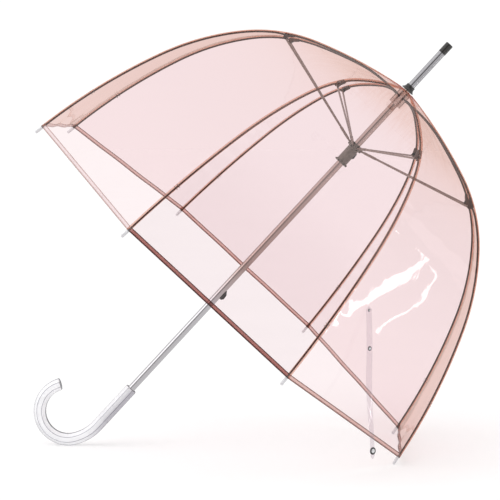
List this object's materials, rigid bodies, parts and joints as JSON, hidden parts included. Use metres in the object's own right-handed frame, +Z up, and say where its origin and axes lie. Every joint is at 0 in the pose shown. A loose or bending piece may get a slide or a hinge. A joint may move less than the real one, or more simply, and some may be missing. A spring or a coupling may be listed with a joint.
{
  "type": "bubble umbrella",
  "caption": "Open clear dome umbrella lying on its hooked handle and two rib tips; a runner on the shaft folds stretchers, jointed ribs and film panels.",
  "frame": {"origin": "centre of the bounding box in X and Y, on the floor that the umbrella lies on (Z = 0)", "axes": "+Z up from the floor; the shaft leans up from the handle at low X to the ferrule at high X, in the XZ plane; +Y across the canopy"},
  "size_m": [0.7182, 0.7562, 0.6704],
  "materials": {
    "canopy_film": "clear flexible sheet, glossy",
    "clear_tip": "clear moulded plastic",
    "handle_plastic": "clear to white moulded plastic, polished",
    "strap_film": "clear flexible strip",
    "rib_steel": "dark grey-brown, gloss",
    "stretcher_steel": "grey-brown, gloss",
    "shaft_metal": "satin",
    "ferrule_metal": "polished along its length",
    "black_plastic": "moulded, half gloss",
    "crown_plastic": "moulded, grey-brown",
    "runner_plastic": "moulded, taupe",
    "spring_steel": "dark spring steel",
    "snap_plastic": "white press stud with a dark rim"
  },
  "bodies": {
    "shaft": {"shaft_tube": "shaft_metal", "handle": "handle_plastic", "ferrule": "ferrule_metal", "ferrule_cap": "black_plastic", "canopy_cap": "black_plastic", "canopy_center": "canopy_film", "crown": "crown_plastic"},
    "runner": {"runner": "runner_plastic"},
    "top_catch": {"top_catch": "spring_steel"},
    "bottom_catch": {"bottom_catch": "spring_steel"},
    "rib_upper_1": {"rib_upper_1": "rib_steel"},
    "rib_lower_1": {"rib_lower_1": "rib_steel", "rib_tip_1": "clear_tip"},
    "stretcher_1": {"stretcher_1": "stretcher_steel"},
    "panel_upper_1": {"panel_upper_1": "canopy_film"},
    "panel_lower_1": {"panel_lower_1": "canopy_film"},
    "rib_upper_2": {"rib_upper_2": "rib_steel"},
    "rib_lower_2": {"rib_lower_2": "rib_steel", "rib_tip_2": "clear_tip"},
    "stretcher_2": {"stretcher_2": "stretcher_steel"},
    "panel_upper_2": {"panel_upper_2": "canopy_film"},
    "panel_lower_2": {"panel_lower_2": "canopy_film"},
    "rib_upper_3": {"rib_upper_3": "rib_steel"},
    "rib_lower_3": {"rib_lower_3": "rib_steel", "rib_tip_3": "clear_tip"},
    "stretcher_3": {"stretcher_3": "stretcher_steel"},
    "panel_upper_3": {"panel_upper_3": "canopy_film"},
    "panel_lower_3": {"panel_lower_3": "canopy_film"},
    "rib_upper_4": {"rib_upper_4": "rib_steel"},
    "rib_lower_4": {"rib_lower_4": "rib_steel", "rib_tip_4": "clear_tip"},
    "stretcher_4": {"stretcher_4": "stretcher_steel"},
    "panel_upper_4": {"panel_upper_4": "canopy_film"},
    "panel_lower_4": {"panel_lower_4": "canopy_film"},
    "rib_upper_5": {"rib_upper_5": "rib_steel"},
    "rib_lower_5": {"rib_lower_5": "rib_steel", "rib_tip_5": "clear_tip"},
    "stretcher_5": {"stretcher_5": "stretcher_steel"},
    "panel_upper_5": {"panel_upper_5": "canopy_film"},
    "panel_lower_5": {"panel_lower_5": "canopy_film"},
    "rib_upper_6": {"rib_upper_6": "rib_steel"},
    "rib_lower_6": {"rib_lower_6": "rib_steel", "rib_tip_6": "clear_tip"},
    "stretcher_6": {"stretcher_6": "stretcher_steel"},
    "panel_upper_6": {"panel_upper_6": "canopy_film"},
    "panel_lower_6": {"panel_lower_6": "canopy_film"},
    "rib_upper_7": {"rib_upper_7": "rib_steel"},
    "rib_lower_7": {"rib_lower_7": "rib_steel", "rib_tip_7": "clear_tip"},
    "stretcher_7": {"stretcher_7": "stretcher_steel"},
    "panel_upper_7": {"panel_upper_7": "canopy_film"},
    "panel_lower_7": {"panel_lower_7": "canopy_film"},
    "rib_upper_8": {"rib_upper_8": "rib_steel"},
    "rib_lower_8": {"rib_lower_8": "rib_steel", "rib_tip_8": "clear_tip"},
    "stretcher_8": {"stretcher_8": "stretcher_steel"},
    "panel_upper_8": {"panel_upper_8": "canopy_film"},
    "panel_lower_8": {"panel_lower_8": "canopy_film"},
    "strap": {"tie_strap": "strap_film", "strap_snaps": "snap_plastic"}
  },
  "joints": [
    {"name": "runner_slide", "type": "slide", "parent": "shaft", "child": "runner", "axis": [-0.6778, 0, -0.7352], "range_m": [0, 0.30958], "deforming": ["panel_upper_1", "panel_upper_2", "panel_upper_3", "panel_upper_4", "panel_upper_5", "panel_upper_6", "panel_upper_7", "panel_upper_8", "panel_lower_1", "panel_lower_2", "panel_lower_3", "panel_lower_4", "panel_lower_5", "panel_lower_6", "panel_lower_7", "panel_lower_8", "top_catch", "bottom_catch"]},
    {"name": "rib_1_fold", "type": "hinge", "parent": "shaft", "child": "rib_upper_1", "pos_m": [0.24355, 0.00364, 0.56076], "axis": [-0.2814, 0.9239, 0.2594], "range_deg": [0, 73.05]},
    {"name": "rib_1_flex", "type": "hinge", "parent": "rib_upper_1", "child": "rib_lower_1", "pos_m": [0.3478, 0.08198, 0.3948], "axis": [-0.2814, 0.9239, 0.2594], "range_deg": [-45.06, 0]},
    {"name": "stretcher_1_fold", "type": "hinge", "parent": "rib_upper_1", "child": "stretcher_1", "pos_m": [0.3438, 0.08113, 0.39348], "axis": [-0.2814, 0.9239, 0.2594], "range_deg": [-147.04, 0]},
    {"name": "panel_1_fold", "type": "hinge", "parent": "shaft", "child": "panel_upper_1", "pos_m": [0.25684, 0, 0.56547], "axis": [0, 1, 0], "range_deg": [0, 69.47]},
    {"name": "panel_1_flex", "type": "hinge", "parent": "panel_upper_1", "child": "panel_lower_1", "pos_m": [0.35142, 0, 0.39601], "axis": [0, 1, 0], "range_deg": [-43.46, 0]},
    {"name": "rib_2_fold", "type": "hinge", "parent": "shaft", "child": "rib_upper_2", "pos_m": [0.23977, 0.00878, 0.56424], "axis": [-0.6793, 0.3827, 0.6262], "range_deg": [0, 73.05]},
    {"name": "rib_2_flex", "type": "hinge", "parent": "rib_upper_2", "child": "rib_lower_2", "pos_m": [0.26256, 0.19791, 0.47338], "axis": [-0.6793, 0.3827, 0.6262], "range_deg": [-45.06, 0]},
    {"name": "stretcher_2_fold", "type": "hinge", "parent": "rib_upper_2", "child": "stretcher_2", "pos_m": [0.25944, 0.19587, 0.47125], "axis": [-0.6793, 0.3827, 0.6262], "range_deg": [-147.04, 0]},
    {"name": "panel_2_fold", "type": "hinge", "parent": "shaft", "child": "panel_upper_2", "pos_m": [0.25353, 0.01085, 0.56851], "axis": [-0.5199, 0.7071, 0.4793], "range_deg": [0, 69.47]},
    {"name": "panel_2_flex", "type": "hinge", "parent": "panel_upper_2", "child": "panel_lower_2", "pos_m": [0.30841, 0.14125, 0.43567], "axis": [-0.5199, 0.7071, 0.4793], "range_deg": [-43.46, 0]},
    {"name": "rib_3_fold", "type": "hinge", "parent": "shaft", "child": "rib_upper_3", "pos_m": [0.23443, 0.00878, 0.56917], "axis": [-0.6793, -0.3827, 0.6262], "range_deg": [0, 73.05]},
    {"name": "rib_3_flex", "type": "hinge", "parent": "rib_upper_3", "child": "rib_lower_3", "pos_m": [0.14202, 0.19791, 0.58452], "axis": [-0.6793, -0.3827, 0.6262], "range_deg": [-45.06, 0]},
    {"name": "stretcher_3_fold", "type": "hinge", "parent": "rib_upper_3", "child": "stretcher_3", "pos_m": [0.14015, 0.19587, 0.58123], "axis": [-0.6793, -0.3827, 0.6262], "range_deg": [-147.04, 0]},
    {"name": "panel_3_fold", "type": "hinge", "parent": "shaft", "child": "panel_upper_3", "pos_m": [0.24555, 0.01535, 0.57587], "axis": [-0.7352, 0, 0.6778], "range_deg": [0, 69.47]},
    {"name": "panel_3_flex", "type": "hinge", "parent": "panel_upper_3", "child": "panel_lower_3", "pos_m": [0.20456, 0.19975, 0.53141], "axis": [-0.7352, 0, 0.6778], "range_deg": [-43.46, 0]},
    {"name": "rib_4_fold", "type": "hinge", "parent": "shaft", "child": "rib_upper_4", "pos_m": [0.23065, 0.00364, 0.57265], "axis": [-0.2814, -0.9239, 0.2594], "range_deg": [0, 73.05]},
    {"name": "rib_4_flex", "type": "hinge", "parent": "rib_upper_4", "child": "rib_lower_4", "pos_m": [0.05679, 0.08198, 0.6631], "axis": [-0.2814, -0.9239, 0.2594], "range_deg": [-45.06, 0]},
    {"name": "stretcher_4_fold", "type": "hinge", "parent": "rib_upper_4", "child": "stretcher_4", "pos_m": [0.05579, 0.08113, 0.659], "axis": [-0.2814, -0.9239, 0.2594], "range_deg": [-147.04, 0]},
    {"name": "panel_4_fold", "type": "hinge", "parent": "shaft", "child": "panel_upper_4", "pos_m": [0.23757, 0.01085, 0.58323], "axis": [-0.5199, -0.7071, 0.4793], "range_deg": [0, 69.47]},
    {"name": "panel_4_flex", "type": "hinge", "parent": "panel_upper_4", "child": "panel_lower_4", "pos_m": [0.10071, 0.14125, 0.62715], "axis": [-0.5199, -0.7071, 0.4793], "range_deg": [-43.46, 0]},
    {"name": "rib_5_fold", "type": "hinge", "parent": "shaft", "child": "rib_upper_5", "pos_m": [0.23065, -0.00364, 0.57265], "axis": [0.2814, -0.9239, -0.2594], "range_deg": [0, 73.05]},
    {"name": "rib_5_flex", "type": "hinge", "parent": "rib_upper_5", "child": "rib_lower_5", "pos_m": [0.05679, -0.08198, 0.6631], "axis": [0.2814, -0.9239, -0.2594], "range_deg": [-45.06, 0]},
    {"name": "stretcher_5_fold", "type": "hinge", "parent": "rib_upper_5", "child": "stretcher_5", "pos_m": [0.05579, -0.08113, 0.659], "axis": [0.2814, -0.9239, -0.2594], "range_deg": [-147.04, 0]},
    {"name": "panel_5_fold", "type": "hinge", "parent": "shaft", "child": "panel_upper_5", "pos_m": [0.23427, 0, 0.58627], "axis": [0, -1, 0], "range_deg": [0, 69.47]},
    {"name": "panel_5_flex", "type": "hinge", "parent": "panel_upper_5", "child": "panel_lower_5", "pos_m": [0.0577, 0, 0.66681], "axis": [0, -1, 0], "range_deg": [-43.46, 0]},
    {"name": "rib_6_fold", "type": "hinge", "parent": "shaft", "child": "rib_upper_6", "pos_m": [0.23443, -0.00878, 0.56917], "axis": [0.6793, -0.3827, -0.6262], "range_deg": [0, 73.05]},
    {"name": "rib_6_flex", "type": "hinge", "parent": "rib_upper_6", "child": "rib_lower_6", "pos_m": [0.14202, -0.19791, 0.58452], "axis": [0.6793, -0.3827, -0.6262], "range_deg": [-45.06, 0]},
    {"name": "stretcher_6_fold", "type": "hinge", "parent": "rib_upper_6", "child": "stretcher_6", "pos_m": [0.14015, -0.19587, 0.58123], "axis": [0.6793, -0.3827, -0.6262], "range_deg": [-147.04, 0]},
    {"name": "panel_6_fold", "type": "hinge", "parent": "shaft", "child": "panel_upper_6", "pos_m": [0.23757, -0.01085, 0.58323], "axis": [0.5199, -0.7071, -0.4793], "range_deg": [0, 69.47]},
    {"name": "panel_6_flex", "type": "hinge", "parent": "panel_upper_6", "child": "panel_lower_6", "pos_m": [0.10071, -0.14125, 0.62715], "axis": [0.5199, -0.7071, -0.4793], "range_deg": [-43.46, 0]},
    {"name": "rib_7_fold", "type": "hinge", "parent": "shaft", "child": "rib_upper_7", "pos_m": [0.23977, -0.00878, 0.56424], "axis": [0.6793, 0.3827, -0.6262], "range_deg": [0, 73.05]},
    {"name": "rib_7_flex", "type": "hinge", "parent": "rib_upper_7", "child": "rib_lower_7", "pos_m": [0.26256, -0.19791, 0.47338], "axis": [0.6793, 0.3827, -0.6262], "range_deg": [-45.06, 0]},
    {"name": "stretcher_7_fold", "type": "hinge", "parent": "rib_upper_7", "child": "stretcher_7", "pos_m": [0.25944, -0.19587, 0.47125], "axis": [0.6793, 0.3827, -0.6262], "range_deg": [-147.04, 0]},
    {"name": "panel_7_fold", "type": "hinge", "parent": "shaft", "child": "panel_upper_7", "pos_m": [0.24555, -0.01535, 0.57587], "axis": [0.7352, 0, -0.6778], "range_deg": [0, 69.47]},
    {"name": "panel_7_flex", "type": "hinge", "parent": "panel_upper_7", "child": "panel_lower_7", "pos_m": [0.20456, -0.19975, 0.53141], "axis": [0.7352, 0, -0.6778], "range_deg": [-43.46, 0]},
    {"name": "rib_8_fold", "type": "hinge", "parent": "shaft", "child": "rib_upper_8", "pos_m": [0.24355, -0.00364, 0.56076], "axis": [0.2814, 0.9239, -0.2594], "range_deg": [0, 73.05]},
    {"name": "rib_8_flex", "type": "hinge", "parent": "rib_upper_8", "child": "rib_lower_8", "pos_m": [0.3478, -0.08198, 0.3948], "axis": [0.2814, 0.9239, -0.2594], "range_deg": [-45.06, 0]},
    {"name": "stretcher_8_fold", "type": "hinge", "parent": "rib_upper_8", "child": "stretcher_8", "pos_m": [0.3438, -0.08113, 0.39348], "axis": [0.2814, 0.9239, -0.2594], "range_deg": [-147.04, 0]},
    {"name": "panel_8_fold", "type": "hinge", "parent": "shaft", "child": "panel_upper_8", "pos_m": [0.25353, -0.01085, 0.56851], "axis": [0.5199, 0.7071, -0.4793], "range_deg": [0, 69.47]},
    {"name": "panel_8_flex", "type": "hinge", "parent": "panel_upper_8", "child": "panel_lower_8", "pos_m": [0.30841, -0.14125, 0.43567], "axis": [0.5199, 0.7071, -0.4793], "range_deg": [-43.46, 0]},
    {"name": "top_catch_press", "type": "slide", "parent": "shaft", "child": "top_catch", "axis": [-0.7352, 0, 0.6778], "range_m": [0, 0.005], "stiffness_N_per_m": 400},
    {"name": "bottom_catch_press", "type": "slide", "parent": "shaft", "child": "bottom_catch", "axis": [-0.7352, 0, 0.6778], "range_m": [0, 0.005], "stiffness_N_per_m": 400},
    {"name": "strap_swing", "type": "hinge", "parent": "panel_lower_8", "child": "strap", "pos_m": [0.18959, -0.30721, 0.2518], "axis": [-0.6901, -0.7238, 0], "range_deg": [0, 80]}
  ],
  "couplings": [
    {"joint": "rib_1_fold", "follows": "runner_slide", "rad_per_m": 4.1012},
    {"joint": "rib_1_flex", "follows": "runner_slide", "rad_per_m": -2.5234},
    {"joint": "stretcher_1_fold", "follows": "runner_slide", "rad_per_m": -8.2726},
    {"joint": "panel_1_fold", "follows": "runner_slide", "rad_per_m": 3.8996},
    {"joint": "panel_1_flex", "follows": "runner_slide", "rad_per_m": -2.4333},
    {"joint": "rib_2_fold", "follows": "runner_slide", "rad_per_m": 4.1012},
    {"joint": "rib_2_flex", "follows": "runner_slide", "rad_per_m": -2.5234},
    {"joint": "stretcher_2_fold", "follows": "runner_slide", "rad_per_m": -8.2726},
    {"joint": "panel_2_fold", "follows": "runner_slide", "rad_per_m": 3.8996},
    {"joint": "panel_2_flex", "follows": "runner_slide", "rad_per_m": -2.4333},
    {"joint": "rib_3_fold", "follows": "runner_slide", "rad_per_m": 4.1012},
    {"joint": "rib_3_flex", "follows": "runner_slide", "rad_per_m": -2.5234},
    {"joint": "stretcher_3_fold", "follows": "runner_slide", "rad_per_m": -8.2726},
    {"joint": "panel_3_fold", "follows": "runner_slide", "rad_per_m": 3.8996},
    {"joint": "panel_3_flex", "follows": "runner_slide", "rad_per_m": -2.4333},
    {"joint": "rib_4_fold", "follows": "runner_slide", "rad_per_m": 4.1012},
    {"joint": "rib_4_flex", "follows": "runner_slide", "rad_per_m": -2.5234},
    {"joint": "stretcher_4_fold", "follows": "runner_slide", "rad_per_m": -8.2726},
    {"joint": "panel_4_fold", "follows": "runner_slide", "rad_per_m": 3.8996},
    {"joint": "panel_4_flex", "follows": "runner_slide", "rad_per_m": -2.4333},
    {"joint": "rib_5_fold", "follows": "runner_slide", "rad_per_m": 4.1012},
    {"joint": "rib_5_flex", "follows": "runner_slide", "rad_per_m": -2.5234},
    {"joint": "stretcher_5_fold", "follows": "runner_slide", "rad_per_m": -8.2726},
    {"joint": "panel_5_fold", "follows": "runner_slide", "rad_per_m": 3.8996},
    {"joint": "panel_5_flex", "follows": "runner_slide", "rad_per_m": -2.4333},
    {"joint": "rib_6_fold", "follows": "runner_slide", "rad_per_m": 4.1012},
    {"joint": "rib_6_flex", "follows": "runner_slide", "rad_per_m": -2.5234},
    {"joint": "stretcher_6_fold", "follows": "runner_slide", "rad_per_m": -8.2726},
    {"joint": "panel_6_fold", "follows": "runner_slide", "rad_per_m": 3.8996},
    {"joint": "panel_6_flex", "follows": "runner_slide", "rad_per_m": -2.4333},
    {"joint": "rib_7_fold", "follows": "runner_slide", "rad_per_m": 4.1012},
    {"joint": "rib_7_flex", "follows": "runner_slide", "rad_per_m": -2.5234},
    {"joint": "stretcher_7_fold", "follows": "runner_slide", "rad_per_m": -8.2726},
    {"joint": "panel_7_fold", "follows": "runner_slide", "rad_per_m": 3.8996},
    {"joint": "panel_7_flex", "follows": "runner_slide", "rad_per_m": -2.4333},
    {"joint": "rib_8_fold", "follows": "runner_slide", "rad_per_m": 4.1012},
    {"joint": "rib_8_flex", "follows": "runner_slide", "rad_per_m": -2.5234},
    {"joint": "stretcher_8_fold", "follows": "runner_slide", "rad_per_m": -8.2726},
    {"joint": "panel_8_fold", "follows": "runner_slide", "rad_per_m": 3.8996},
    {"joint": "panel_8_flex", "follows": "runner_slide", "rad_per_m": -2.4333}
  ]
}
